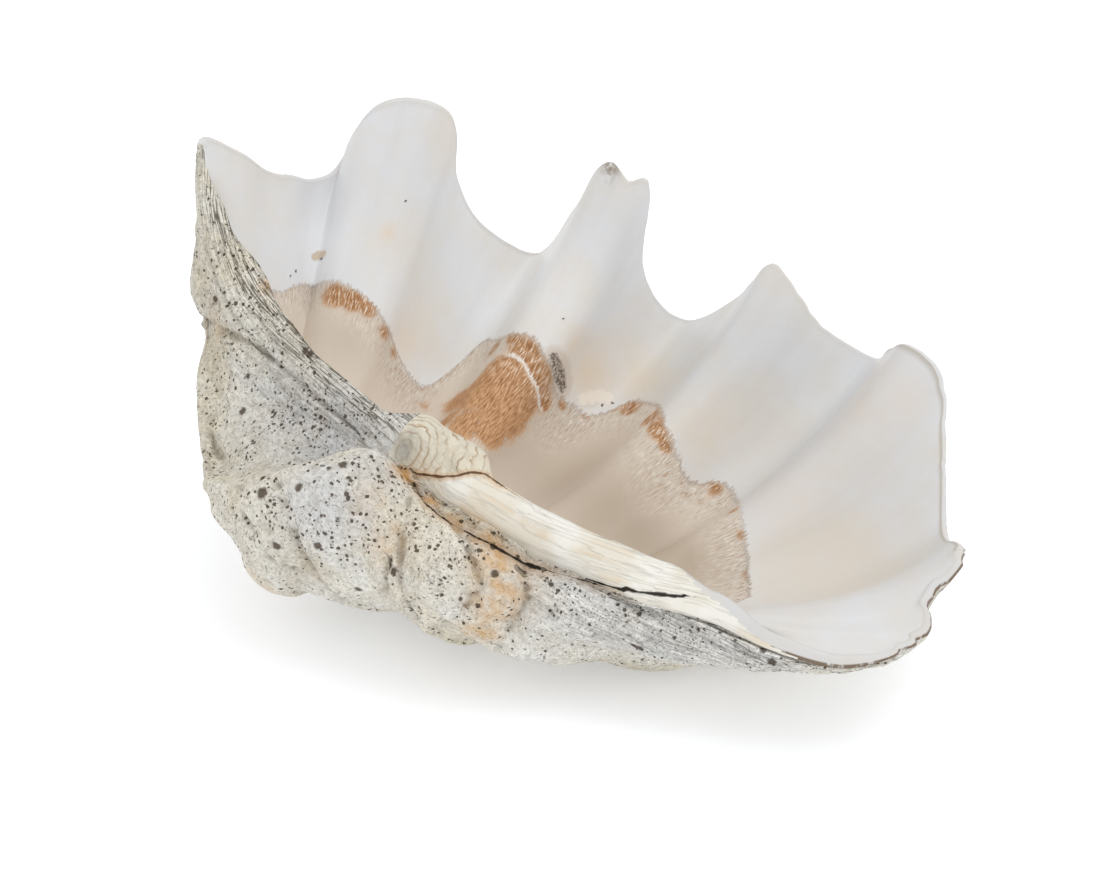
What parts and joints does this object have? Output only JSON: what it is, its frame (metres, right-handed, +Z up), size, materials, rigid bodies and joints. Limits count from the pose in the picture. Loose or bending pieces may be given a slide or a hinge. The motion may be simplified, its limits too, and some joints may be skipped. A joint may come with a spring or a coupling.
{
  "type": "giant clam shell valve",
  "caption": "Single valve of a giant clam lying on its rounded outside: deep ribbed bowl with a scalloped wavy margin and a thick hinge plate.",
  "frame": {"origin": "centre of the bounding box's bottom face, on the floor", "axes": "+X along the hinge towards the low narrow end, +Y from the hinge towards the scalloped free margin, +Z up out of the mouth"},
  "size_m": [0.7164, 0.5322, 0.3321],
  "materials": {
    "shell": "matte"
  },
  "bodies": {
    "root": {"clam_valve": "shell"}
  },
  "joints": []
}
